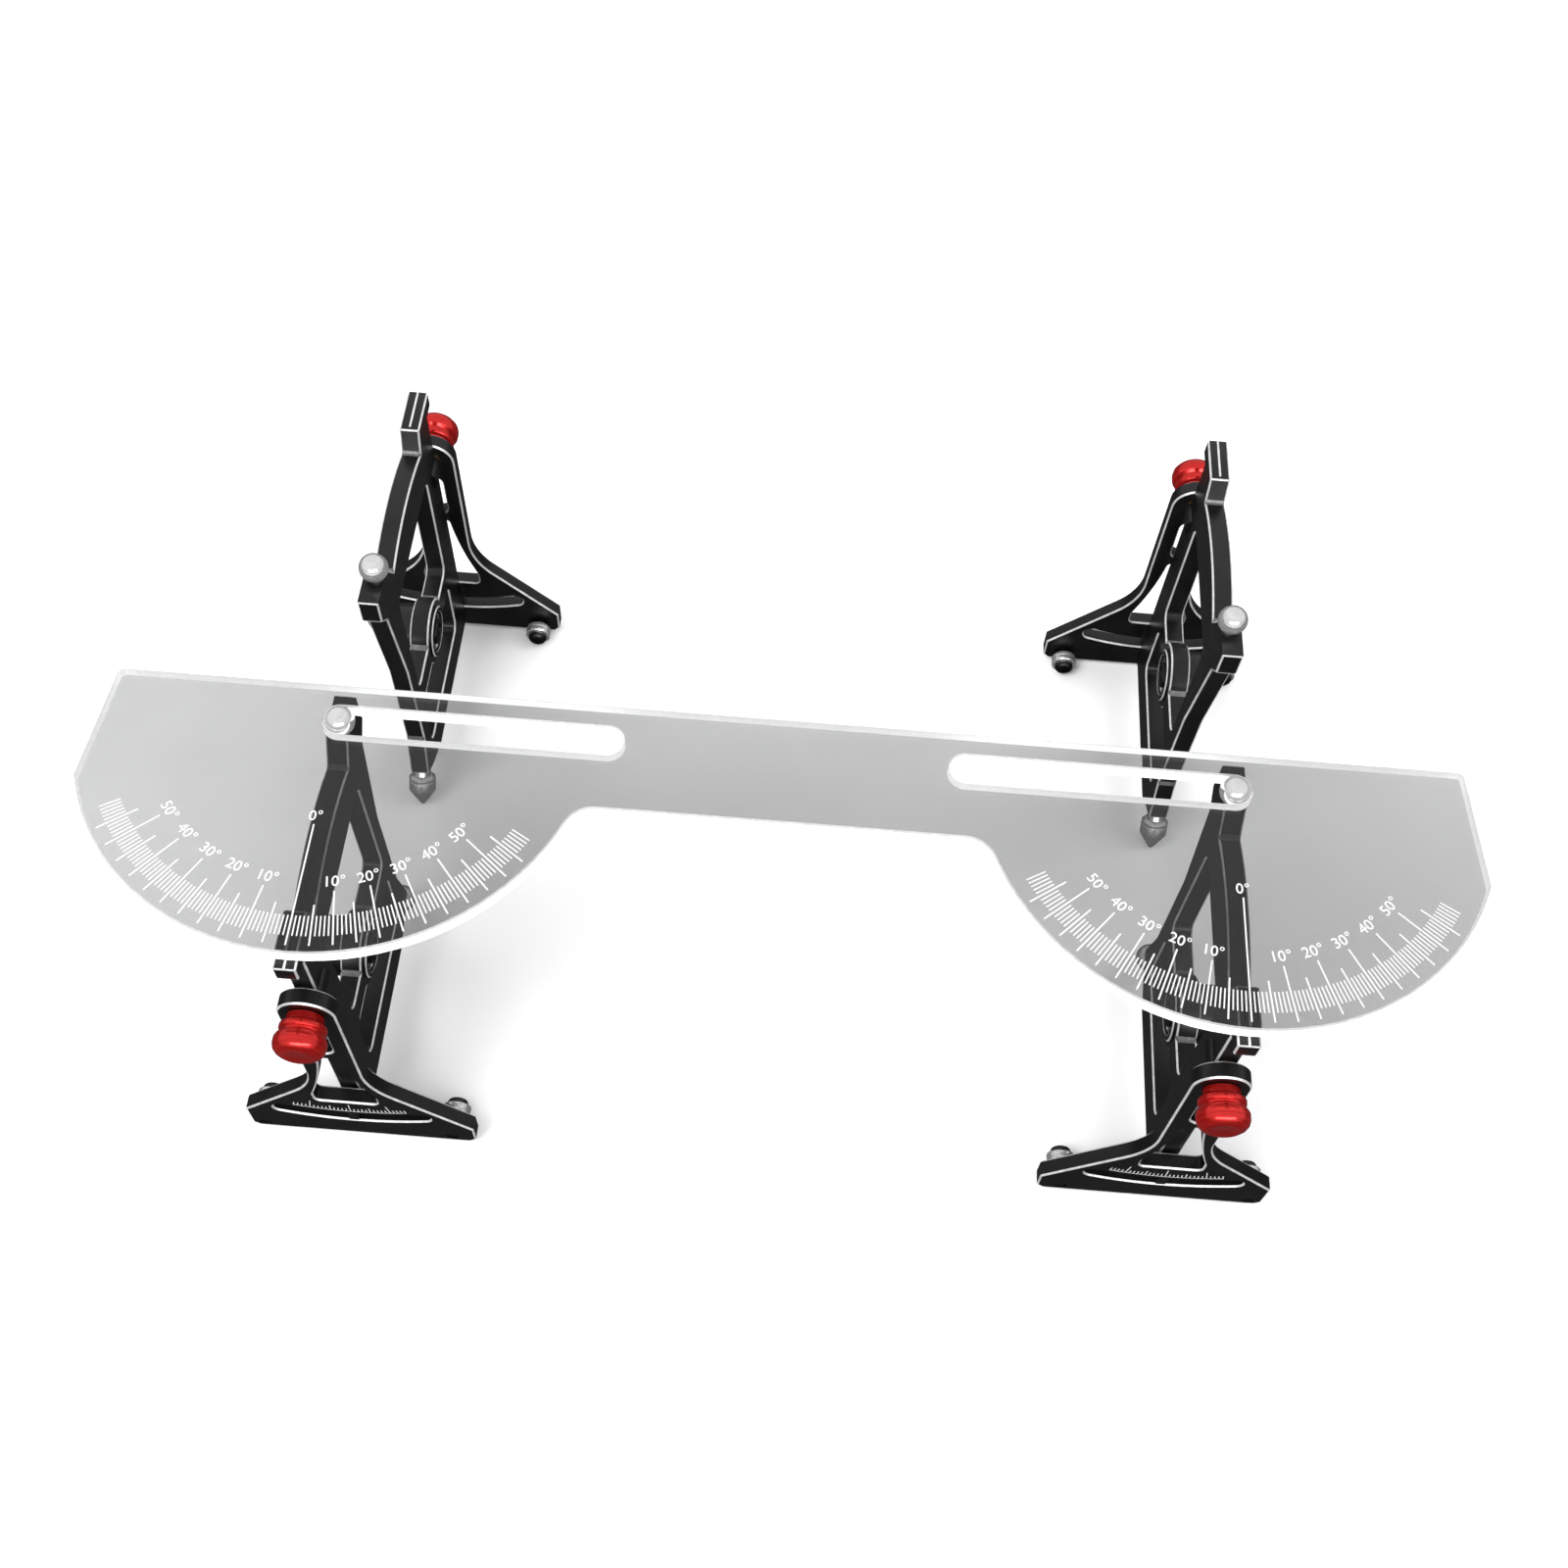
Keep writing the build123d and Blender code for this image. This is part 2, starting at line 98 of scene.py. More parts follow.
# the base colour runs from dark to light over the middle of the noise
def addTone(nodes, links, noise, shader, look):
    ramp = nodes.new("ShaderNodeValToRGB")
    ramp.color_ramp.elements[0].position = look["darkAt"]
    ramp.color_ramp.elements[1].position = look["lightAt"]
    ramp.color_ramp.elements[0].color = (*look["dark"], 1)
    ramp.color_ramp.elements[1].color = (*look["light"], 1)
    links.new(noise.outputs["Fac"], ramp.inputs["Fac"])
    links.new(ramp.outputs["Color"], shader.inputs["Base Color"])


def addRoughness(nodes, links, noise, shader, look):
    spread = nodes.new("ShaderNodeMapRange")
    spread.inputs["To Min"].default_value = look["roughLow"]
    spread.inputs["To Max"].default_value = look["roughHigh"]
    links.new(noise.outputs["Fac"], spread.inputs["Value"])
    links.new(spread.outputs["Result"], shader.inputs["Roughness"])


def addRelief(nodes, links, noise, shader, look):
    bump = nodes.new("ShaderNodeBump")
    bump.inputs["Strength"].default_value = look["relief"]
    bump.inputs["Distance"].default_value = look["depth"] * mm
    links.new(noise.outputs["Fac"], bump.inputs["Height"])
    links.new(bump.outputs["Normal"], shader.inputs["Normal"])


def blackAnodised():
    look = {"dark": (0.002, 0.002, 0.0022), "light": (0.006, 0.006, 0.0063), "darkAt": 0.35, "lightAt": 0.7,
            "cloud": 90, "roughLow": 0.26, "roughHigh": 0.38, "grain": 5200, "relief": 0.25, "depth": 0.04,
            "ior": 1.5}
    material, nodes, links, shader, coords = startMaterial("blackAnodised")
    cloud = addNoise(nodes, links, coords, look["cloud"], detail=5)
    addTone(nodes, links, cloud, shader, look)
    addRoughness(nodes, links, cloud, shader, look)
    grain = addNoise(nodes, links, coords, look["grain"], detail=2)
    addRelief(nodes, links, grain, shader, look)
    shader.inputs["IOR"].default_value = look["ior"]
    return material


# bright metal for cut edges, also used as painted highlights on the bends of the uprights
def cutEdge(name, dark, light):
    look = {"dark": dark, "light": light, "darkAt": 0.3, "lightAt": 0.75, "lines": 900,
            "stretch": (1, 1, 0.25), "roughLow": 0.35, "roughHigh": 0.50, "relief": 0.2, "depth": 0.03,
            "metal": 0.55}
    material, nodes, links, shader, coords = startMaterial(name)
    lines = addNoise(nodes, links, coords, look["lines"], detail=3, stretch=look["stretch"])
    addTone(nodes, links, lines, shader, look)
    addRoughness(nodes, links, lines, shader, look)
    addRelief(nodes, links, lines, shader, look)
    shader.inputs["Metallic"].default_value = look["metal"]
    return material


# lathe is the scale of the fine turning marks on each axis
turnedLooks = {
    "redAnodised": {"dark": (0.50, 0.006, 0.006), "light": (0.80, 0.028, 0.022), "roughLow": 0.16,
                    "roughHigh": 0.28, "lathe": (60, 2600, 60), "coat": 0.4, "metal": 0.75},
    "groundSteel": {"dark": (0.70, 0.70, 0.71), "light": (0.84, 0.84, 0.85), "roughLow": 0.12,
                    "roughHigh": 0.20, "lathe": (120, 120, 1500), "coat": 0.0, "metal": 0.8},
    "blackScrew": {"dark": (0.03, 0.03, 0.032), "light": (0.07, 0.07, 0.075), "roughLow": 0.30,
                   "roughHigh": 0.45, "lathe": (400, 1800, 400), "coat": 0.1, "metal": 1.0},
    "bearingSteel": {"dark": (0.66, 0.66, 0.67), "light": (0.85, 0.85, 0.86), "roughLow": 0.08,
                     "roughHigh": 0.16, "lathe": (2600, 200, 200), "coat": 0.0, "metal": 1.0},
    "bronzeBush": {"dark": (0.38, 0.24, 0.09), "light": (0.55, 0.38, 0.17), "roughLow": 0.30,
                   "roughHigh": 0.45, "lathe": (300, 1800, 300), "coat": 0.0, "metal": 1.0}}


def turnedMetal(name):
    look = {"darkAt": 0.3, "lightAt": 0.7, "relief": 0.15, "depth": 0.03, "coatRough": 0.08}
    look.update(turnedLooks[name])
    material, nodes, links, shader, coords = startMaterial(name)
    marks = addNoise(nodes, links, coords, 1, detail=3, stretch=look["lathe"])
    addTone(nodes, links, marks, shader, look)
    addRoughness(nodes, links, marks, shader, look)
    addRelief(nodes, links, marks, shader, look)
    shader.inputs["Metallic"].default_value = look["metal"]
    shader.inputs["Coat Weight"].default_value = look["coat"]
    shader.inputs["Coat Roughness"].default_value = look["coatRough"]
    return material


def clearSheet():
    look = {"dark": (0.385, 0.387, 0.39), "light": (0.435, 0.437, 0.44), "darkAt": 0.3, "lightAt": 0.7,
            "cloud": 12, "roughLow": 0.0, "roughHigh": 0.03, "ior": 1.49}
    material, nodes, links, shader, coords = startMaterial("clearSheet")
    cloud = addNoise(nodes, links, coords, look["cloud"], detail=3)
    addTone(nodes, links, cloud, shader, look)
    addRoughness(nodes, links, cloud, shader, look)
    shader.inputs["Transmission Weight"].default_value = 1.0
    shader.inputs["IOR"].default_value = look["ior"]
    return material


# the edge of a clear sheet is painted near-white and given a painted glow, standing in for the light that the
# sheet has gathered
def polishedSheetEdge():
    look = {"dark": (0.90, 0.91, 0.91), "light": (1.0, 1.0, 1.0), "darkAt": 0.3, "lightAt": 0.7,
            "lines": 700, "stretch": (1, 1, 0.15), "relief": 0.15, "depth": 0.04, "glow": 0.7, "rough": 0.3,
            "ior": 1.49}
    material, nodes, links, shader, coords = startMaterial("polishedSheetEdge")
    lines = addNoise(nodes, links, coords, look["lines"], detail=3, stretch=look["stretch"])
    addTone(nodes, links, lines, shader, look)
    addRelief(nodes, links, lines, shader, look)
    # painted glow: the edge gives off light though it is no lamp
    shader.inputs["Emission Color"].default_value = (1, 1, 1, 1)
    shader.inputs["Emission Strength"].default_value = look["glow"]
    shader.inputs["Roughness"].default_value = look["rough"]
    shader.inputs["IOR"].default_value = look["ior"]
    return material


# the broken corner round the sheet is ground, so it shows as a fine grey line
def groundCorner():
    look = {"dark": (0.42, 0.42, 0.425), "light": (0.56, 0.56, 0.565), "darkAt": 0.3, "lightAt": 0.7,
            "lines": 800, "roughLow": 0.4, "roughHigh": 0.55, "clear": 0.3, "ior": 1.49}
    material, nodes, links, shader, coords = startMaterial("groundCorner")
    lines = addNoise(nodes, links, coords, look["lines"], detail=3)
    addTone(nodes, links, lines, shader, look)
    addRoughness(nodes, links, lines, shader, look)
    shader.inputs["Transmission Weight"].default_value = look["clear"]
    shader.inputs["IOR"].default_value = look["ior"]
    return material


def whiteFill():
    look = {"dark": (0.52, 0.52, 0.52), "light": (0.68, 0.68, 0.68), "darkAt": 0.3, "lightAt": 0.6,
            "grain": 2600, "rough": 0.6}
    material, nodes, links, shader, coords = startMaterial("whiteFill")
    grain = addNoise(nodes, links, coords, look["grain"], detail=3)
    addTone(nodes, links, grain, shader, look)
    shader.inputs["Roughness"].default_value = look["rough"]
    return material


blackMetal = blackAnodised()
# bare metal on cut edges, also painted on round bends as a highlight
edgeAndBendHighlightMetal = cutEdge("bareEdgeAndBendHighlight", (0.62, 0.62, 0.63), (0.90, 0.90, 0.91))
# painted soft highlight on hollow bends
hollowHighlightMetal = cutEdge("hollowBendHighlight", (0.14, 0.14, 0.145), (0.26, 0.26, 0.265))
redMetal = turnedMetal("redAnodised")
steel = turnedMetal("groundSteel")
darkSteel = turnedMetal("blackScrew")
raceSteel = turnedMetal("bearingSteel")
bronze = turnedMetal("bronzeBush")
sheetFace = clearSheet()
sheetEdge = polishedSheetEdge()
sheetCorner = groundCorner()
inkWhite = whiteFill()
print("materials made")


# a finished piece has its place in its mesh and rides on its body
def finishPiece(bm, name, body, materials, place=None, sharp=30, replaced=()):
    if place is not None:
        bm.transform(place)
        if place.determinant() < 0:
            bmesh.ops.reverse_faces(bm, faces=bm.faces[:])
    mesh = bpy.data.meshes.new(name)
    bm.to_mesh(mesh)
    bm.free()
    # a copied mesh brings normals that only fit its unmerged triangles
    if "custom_normal" in mesh.attributes:
        mesh.attributes.remove(mesh.attributes["custom_normal"])
    for material in materials:
        mesh.materials.append(material)
    mesh.polygons.foreach_set("use_smooth", [True] * len(mesh.polygons))
    mesh.set_sharp_from_angle(angle=math.radians(sharp))
    piece = bpy.data.objects.new(name, mesh)
    bpy.context.scene.collection.objects.link(piece)
    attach(piece, body)
    if replaced:
        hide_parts(*replaced)


# a copy of a node's mesh with its loose triangles joined
def mergedCopy(node):
    bm = bmesh.new()
    bm.from_mesh(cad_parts[node].data)
    weld = 0.002 * mm
    bmesh.ops.remove_doubles(bm, verts=bm.verts[:], dist=weld)
    return bm


# points are (along, radius) in millimetres; the axis is z, and soften breaks the sharp edges
def turnProfile(points, steps=64, closed=False, soften=0.0):
    turning = {"weld": 0.001, "sharpLeast": 28}
    bm = bmesh.new()
    verts = [bm.verts.new((radius * mm, 0, along * mm)) for along, radius in points]
    pairs = list(zip(verts, verts[1:]))
    if closed:
        pairs.append((verts[-1], verts[0]))
    edges = [bm.edges.new(pair) for pair in pairs]
    bmesh.ops.spin(bm, geom=verts + edges, cent=(0, 0, 0), axis=(0, 0, 1), angle=math.tau, steps=steps,
                   use_merge=True, use_duplicate=False)
    bmesh.ops.remove_doubles(bm, verts=bm.verts[:], dist=turning["weld"] * mm)
    bmesh.ops.recalc_face_normals(bm, faces=bm.faces[:])
    if soften:
        least = math.radians(turning["sharpLeast"])
        sharpEdges = [e for e in bm.edges if len(e.link_faces) == 2 and e.calc_face_angle() > least]
        bmesh.ops.bevel(bm, geom=sharpEdges, offset=soften * mm, segments=2, profile=0.5, affect="EDGES",
                        material=-1, offset_type="OFFSET", clamp_overlap=True)
    return bm


# a closed profile that is the same from both ends of its width
def evenProfile(half, width):
    return half + [(width - along, radius) for along, radius in reversed(half)]


# puts a turned part into a piece that has more than one
def addPart(bm, part):
    spare = bpy.data.meshes.new("spare")
    part.to_mesh(spare)
    part.free()
    bm.from_mesh(spare)
    bpy.data.meshes.remove(spare)


# turns the z axis of a turned piece to a direction
def aimAxis(direction):
    return Vector((0, 0, 1)).rotation_difference(Vector(direction)).to_matrix().to_4x4()


# a place in millimetres on the stand
def moveTo(x, y, z):
    return Matrix.Translation((x * mm, y * mm, z * mm))


# a small bar, size in millimetres
def addBar(bm, size, place):
    scale = Matrix.Diagonal((size[0] * mm, size[1] * mm, size[2] * mm, 1))
    bmesh.ops.create_cube(bm, size=1, matrix=place @ scale)


# uprights: the imported shape with bright broken edges, painted highlights across its bends, and the bright
# line along the blade
cutSlope = (0.55, 0.85)  # how far a broken edge's face looks to the side of its plate
upright = {"thickness": 5.0, "middle": -0.5, "edge": 0.4, "flat": 0.5,
           "studBossY": (49, 55.4), "studBossZ": (69, 77), "studBossLean": 0.1,
           "bend": 0.3, "hollow": 1.2, "bendLeast": 12, "bendMost": 100, "shortest": 3, "level": 0.99,
           "lineWidth": 0.5, "lineStart": 47.6, "lineEnd": 59.5, "bladeTop": 95.6, "lift": 0.02}


# the boss of the pivot stud stays black, though some of its faces lie in the same band
def onStudBoss(face, centre):
    return (upright["studBossY"][0] < centre.y / mm < upright["studBossY"][1]
            and upright["studBossZ"][0] < centre.z / mm < upright["studBossZ"][1]
            and abs(face.normal.y) < upright["studBossLean"])


# the edges across the plate where its outline bends, either round bends or hollow ones
def findBends(bm, hollow):
    bends = []
    for edge in bm.edges:
        along = edge.verts[1].co - edge.verts[0].co
        level = abs(along.x) > upright["level"] * along.length
        if level and along.length > upright["shortest"] * mm and len(edge.link_faces) == 2:
            turn = math.degrees(edge.calc_face_angle())
            if upright["bendLeast"] < turn < upright["bendMost"] and edge.is_convex != hollow:
                bends.append(edge)
    return bends


for corner in corners:
    place = standPlace[corner]
    back = place.inverted()
    bm = mergedCopy(corner + "_upright")
    for face in bm.faces:
        centre = back @ face.calc_center_median()
        offset = abs(centre.x / mm - upright["middle"])
        inBand = upright["thickness"] / 2 - upright["edge"] < offset < upright["thickness"] / 2
        sloped = cutSlope[0] < abs(face.normal.x) < cutSlope[1]
        if inBand and sloped and not onStudBoss(face, centre):
            face.material_index = 1
    bmesh.ops.dissolve_limit(bm, angle_limit=math.radians(upright["flat"]), verts=bm.verts[:],
                             edges=bm.edges[:], delimit={"MATERIAL"})
    # the bends are rounded, and their strips are painted as highlights: bright on round bends, grey on hollow
    # ones
    for hollow, radius in ((False, upright["bend"]), (True, upright["hollow"])):
        shine = bmesh.ops.bevel(bm, geom=findBends(bm, hollow), offset=radius * mm, segments=2, profile=0.5,
                                affect="EDGES", material=-1, offset_type="OFFSET", clamp_overlap=True)
        for face in shine["faces"]:
            if face.calc_area() < radius * upright["thickness"] * mm * mm:  # not the long slopes beside it
                face.material_index = 2 if hollow else 1
    finishPiece(bm, corner + "_uprightPlate", corner + "_upright", [blackMetal, edgeAndBendHighlightMetal, hollowHighlightMetal],
                sharp=25, replaced=[corner + "_upright"])
    bm = bmesh.new()
    length = upright["lineEnd"] - upright["lineStart"]
    middle = (upright["lineStart"] + upright["lineEnd"]) / 2
    addBar(bm, (upright["lineWidth"], length, 2 * upright["lift"]),
           moveTo(upright["middle"], middle, upright["bladeTop"]))
    finishPiece(bm, corner + "_bladeGroove", corner + "_upright", [edgeAndBendHighlightMetal], place)
print("uprights dressed")


# camber gauges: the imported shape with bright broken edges, and the scale above the arc slot
camber = {"pivot": 73.0, "front": 60.0, "scaleRadius": 57.3, "range": 14, "arcStep": 0.5, "overlap": 1.05,
          "minor": 1.7, "middle": 2.6, "major": 4.2, "line": 0.22, "lift": 0.02}


def scaleReach(degree):
    if degree % 10 == 0:
        return camber["major"]
    return camber["middle"] if degree % 5 == 0 else camber["minor"]


# a bar on the scale, at an angle below the pivot and with its middle at a radius
def addScaleBar(bm, degree, radius, width, height):
    swing = Matrix.Rotation(math.radians(degree), 4, "Y")
    place = moveTo(0, camber["front"], camber["pivot"]) @ swing @ moveTo(0, 0, -radius)
    addBar(bm, (width, 2 * camber["lift"], height), place)


for corner in corners:
    bm = mergedCopy(corner + "_camber_gauge")
    for face in bm.faces:
        if cutSlope[0] < abs(face.normal.y) < cutSlope[1]:
            face.material_index = 1
    finishPiece(bm, corner + "_camberPlate", corner + "_camber_gauge", [blackMetal, edgeAndBendHighlightMetal], sharp=25,
                replaced=[corner + "_camber_gauge"])
    bm = bmesh.new()
    for degree in range(-camber["range"], camber["range"] + 1):
        reach = scaleReach(degree)
        addScaleBar(bm, degree, camber["scaleRadius"] - reach / 2, camber["line"], reach)
    arcSteps = round(camber["range"] / camber["arcStep"])
    chord = camber["scaleRadius"] * math.radians(camber["arcStep"]) * camber["overlap"]
    for step in range(-arcSteps, arcSteps):
        addScaleBar(bm, (step + 0.5) * camber["arcStep"], camber["scaleRadius"], chord, camber["line"])
    finishPiece(bm, corner + "_camberScale", corner + "_camber_gauge", [inkWhite], standPlace[corner])
print("camber gauges dressed")


# lock knobs, turned with a rim, a groove and a rounded grip
knob = {"start": 60.2, "bore": 1.6, "neck": 4.15, "rim": 5.28, "groove": 4.7, "grip": 5.9, "soften": 0.12}
knobProfile = [
    (0, knob["bore"]), (0, knob["neck"]), (1.7, knob["neck"]), (1.9, knob["neck"] + 0.3),
    (2.1, knob["rim"] - 0.35), (2.5, knob["rim"]), (3.5, knob["rim"]),
    (3.9, knob["groove"]), (4.4, knob["groove"]),
    (4.9, knob["grip"] - 0.35), (5.6, knob["grip"]), (7.0, knob["grip"]), (8.0, knob["grip"] - 0.3),
    (8.8, knob["grip"] - 1.0), (9.35, knob["grip"] - 2.0), (9.45, knob["grip"] - 2.6),  # the rounded end
    (9.3, knob["grip"] - 3.2), (9.3, 0)]  # the shallow hollow in its face
for corner in corners:
    bm = turnProfile(knobProfile, steps=72, soften=knob["soften"])
    bm.transform(moveTo(0, knob["start"], camber["pivot"]) @ aimAxis((0, 1, 0)))
    finishPiece(bm, corner + "_knob", corner + "_lock_knob", [redMetal], standPlace[corner], sharp=40,
                replaced=[corner + "_lock_knob"])
print("lock knobs turned")


# toe pins: a ball on a short neck
pin = {"ball": 3.5, "height": 99.4, "neck": 1.8, "seat": 95.85, "stem": 1.25, "stemEnd": 86.85,
       "ballSteps": 32}
pinProfile = [(pin["stemEnd"], 0), (pin["stemEnd"], pin["stem"]), (pin["seat"], pin["stem"]),
              (pin["seat"], pin["neck"])]
firstAngle = math.degrees(math.asin(pin["neck"] / pin["ball"]))
for step in range(pin["ballSteps"] + 1):
    angle = math.radians(firstAngle + (180 - firstAngle) * step / pin["ballSteps"])
    radius = max(pin["ball"] * math.sin(angle), 0)
    pinProfile.append((pin["height"] - pin["ball"] * math.cos(angle), radius))
for corner in corners:
    body = corner + ("_toe_pin" if "front" in corner else "_upright")
    bm = turnProfile(pinProfile)
    finishPiece(bm, corner + "_ballPin", body, [steel], standPlace[corner], sharp=35,
                replaced=[corner + "_toe_pin"])
print("toe pins turned")


# feet: a steel point that leans outward, with a fine groove round it
foot = {"x": -0.5, "tipY": -6.4, "tipHeight": 0.75, "lean": 32.5, "tip": 0.75, "tipStep": 11,
        "coneAngle": 35, "radius": 3.62, "groove": 6.6, "grooveWidth": 0.35, "grooveDepth": 0.15,
        "grooveSlope": 0.1, "shoulder": 8.4, "round": 0.7, "neck": 2.35, "end": 10.0, "stem": 1.25,
        "stemEnd": 17.0, "soften": 0.05}
footAxis = (0, math.sin(math.radians(foot["lean"])), math.cos(math.radians(foot["lean"])))
footProfile = []
for angle in range(0, 91 - foot["coneAngle"], foot["tipStep"]):
    turn = math.radians(angle)
    footProfile.append((-foot["tip"] * math.cos(turn), foot["tip"] * math.sin(turn)))
coneStart, coneRadius = footProfile[-1]
coneEnd = coneStart + (foot["radius"] - coneRadius) / math.tan(math.radians(foot["coneAngle"]))
grooveEnd = foot["groove"] + foot["grooveWidth"]
grooveRadius = foot["radius"] - foot["grooveDepth"]
footProfile += [
    (coneEnd, foot["radius"]), (foot["groove"], foot["radius"]),
    (foot["groove"] + foot["grooveSlope"], grooveRadius), (grooveEnd - foot["grooveSlope"], grooveRadius),
    (grooveEnd, foot["radius"]), (foot["shoulder"] - foot["round"], foot["radius"]),
    (foot["shoulder"], foot["radius"] - foot["round"]), (foot["shoulder"], foot["neck"]),
    (foot["end"], foot["neck"]), (foot["end"], foot["stem"]), (foot["stemEnd"], foot["stem"]),
    (foot["stemEnd"], 0)]
for corner in corners:
    bm = turnProfile(footProfile, soften=foot["soften"])
    bm.transform(moveTo(foot["x"], foot["tipY"], foot["tipHeight"]) @ aimAxis(footAxis))
    finishPiece(bm, corner + "_footPoint", corner + "_upright", [steel], standPlace[corner], sharp=35,
                replaced=[corner + "_foot"])
print("feet turned")


# hubs: the housing, two shielded bearings and the axle adapter, along x through the upright
hub = {"y": 26.5, "z": 38.0, "left": -10.0, "right": 2.8}
housing = {"radius": 7.0, "outerBreak": 0.6, "innerBreak": 0.3, "groove": 1.9, "grooveEnd": 2.6,
           "grooveDepth": 0.2, "grooveSlope": 0.15, "clearance": 0.01, "lip": 0.8, "soften": 0.08,
           "brightDepth": 0.4, "brightSlope": (0.3, 0.95)}
bearing = {"radius": 5.5, "bore": 3.5, "width": 3.0, "inset": 0.6, "break": 0.15, "shieldOuter": 4.9,
           "shieldInner": 4.05, "shieldDepth": 0.25, "shieldSlope": 0.05, "soften": 0.03}
adapter = {"start": -11.0, "past": 0.4, "bore": 2.5, "sleeve": 3.45, "flange": 4.6, "flangeWidth": 1.4,
           "break": 0.25, "boreBreak": 0.3, "soften": 0.05}


def hubPlace(along):
    return moveTo(along, hub["y"], hub["z"]) @ aimAxis((1, 0, 0))


def housingProfile():
    length = hub["right"] - hub["left"]
    rim = housing["radius"]
    seat = bearing["radius"] + housing["clearance"]
    seatEnd = bearing["inset"] + bearing["width"]
    grooveRadius = rim - housing["grooveDepth"]
    return [
        (0, rim - housing["outerBreak"]), (housing["outerBreak"], rim), (housing["groove"], rim),
        (housing["groove"] + housing["grooveSlope"], grooveRadius),
        (housing["grooveEnd"] - housing["grooveSlope"], grooveRadius), (housing["grooveEnd"], rim),
        (length - housing["innerBreak"], rim), (length, rim - housing["innerBreak"]), (length, seat),
        (length - seatEnd, seat), (length - seatEnd, seat - housing["lip"]),
        (seatEnd, seat - housing["lip"]), (seatEnd, seat), (0, seat)]


def bearingProfile():
    outer, inner = bearing["shieldOuter"], bearing["shieldInner"]
    return evenProfile([
        (bearing["break"], bearing["radius"]), (0, bearing["radius"] - bearing["break"]),
        (0, outer + bearing["shieldSlope"]), (bearing["shieldDepth"], outer), (bearing["shieldDepth"], inner),
        (0, inner - bearing["shieldSlope"]), (0, bearing["bore"] + bearing["break"]),
        (bearing["break"], bearing["bore"])], bearing["width"])


def adapterProfile():
    flange, sleeve, bore = adapter["flange"], adapter["sleeve"], adapter["bore"]
    length = hub["right"] + adapter["past"] - adapter["start"]
    flangeEnd = adapter["flangeWidth"]
    return [
        (adapter["break"], flange), (flangeEnd - adapter["break"], flange),
        (flangeEnd, flange - adapter["break"]),
        (flangeEnd, sleeve), (length - adapter["break"], sleeve), (length, sleeve - adapter["break"]),
        (length, bore + adapter["boreBreak"]), (length - adapter["boreBreak"], bore),
        (adapter["boreBreak"], bore), (0, bore + adapter["boreBreak"]), (0, flange - adapter["break"])]


for corner in corners:
    place = standPlace[corner]
    bm = turnProfile(housingProfile(), steps=80, closed=True, soften=housing["soften"])
    brightFrom = (hub["right"] - hub["left"] - housing["brightDepth"]) * mm
    for face in bm.faces:
        sloped = housing["brightSlope"][0] < face.normal.z < housing["brightSlope"][1]
        if face.calc_center_median().z > brightFrom and sloped:
            face.material_index = 1
    bm.transform(hubPlace(hub["left"]))
    finishPiece(bm, corner + "_hubHousing", corner + "_upright", [blackMetal, edgeAndBendHighlightMetal], place, sharp=35,
                replaced=[corner + "_bearing_housing"])
    bm = bmesh.new()
    for start in (hub["left"] + bearing["inset"], hub["right"] - bearing["inset"] - bearing["width"]):
        part = turnProfile(bearingProfile(), steps=80, closed=True, soften=bearing["soften"])
        part.transform(hubPlace(start))
        addPart(bm, part)
    finishPiece(bm, corner + "_hubBearings", corner + "_upright", [raceSteel], place, sharp=35,
                replaced=[corner + "_hub_bearings"])
    bm = turnProfile(adapterProfile(), steps=72, closed=True, soften=adapter["soften"])
    bm.transform(hubPlace(adapter["start"]))
    finishPiece(bm, corner + "_adapterSleeve", corner + "_axle_adapter", [blackMetal], place, sharp=35,
                replaced=[corner + "_axle_adapter"])
print("hubs turned")


# rollers under the camber gauges, with a dished face and a groove round the middle
roller = {"x": 23.5, "z": 3.5, "start": 51.8, "radius": 3.5, "bore": 1.6, "width": 3.0, "break": 0.3,
          "dishInner": 2.25, "dishOuter": 2.7, "dishDepth": 0.2, "dishSlope": 0.05,
          "groove": 1.2, "grooveFloor": 1.35, "grooveDepth": 0.1, "soften": 0.04}
rollerProfile = evenProfile([
    (0, roller["bore"]), (0, roller["dishInner"] - roller["dishSlope"]),
    (roller["dishDepth"], roller["dishInner"]), (roller["dishDepth"], roller["dishOuter"]),
    (0, roller["dishOuter"] + roller["dishSlope"]), (0, roller["radius"] - roller["break"]),
    (roller["break"], roller["radius"]), (roller["groove"], roller["radius"]),
    (roller["grooveFloor"], roller["radius"] - roller["grooveDepth"])], roller["width"])

# the screws that carry them: a domed head with a six-sided socket, a shank and a collar
screw = {"start": 50.1, "headEnd": 51.6, "end": 59.7, "head": 2.6, "shank": 1.5, "tipBreak": 0.3,
         "collar": 2.3, "collarStart": 55.0, "collarEnd": 56.0,
         "socket": 1.0, "socketDepth": 0.8, "socketReach": 1.2, "socketFlare": 1.08}
headEnd = screw["headEnd"] - screw["start"]
collarStart = screw["collarStart"] - screw["start"]
collarEnd = screw["collarEnd"] - screw["start"]
screwEnd = screw["end"] - screw["start"]
screwProfile = [
    (screw["socketDepth"], 0), (screw["socketDepth"], screw["socket"]), (0, screw["socket"] * 1.02),
    (0.02, 1.55), (0.2, 2.0), (0.5, 2.35), (0.9, 2.55), (1.3, screw["head"]),  # the dome
    (headEnd, screw["head"] - 0.05), (headEnd, screw["shank"]),
    (collarStart, screw["shank"]), (collarStart, screw["collar"]),
    (collarEnd, screw["collar"]), (collarEnd, screw["shank"]),
    (screwEnd - screw["tipBreak"], screw["shank"]), (screwEnd, screw["shank"] - screw["tipBreak"]),
    (screwEnd, 0)]


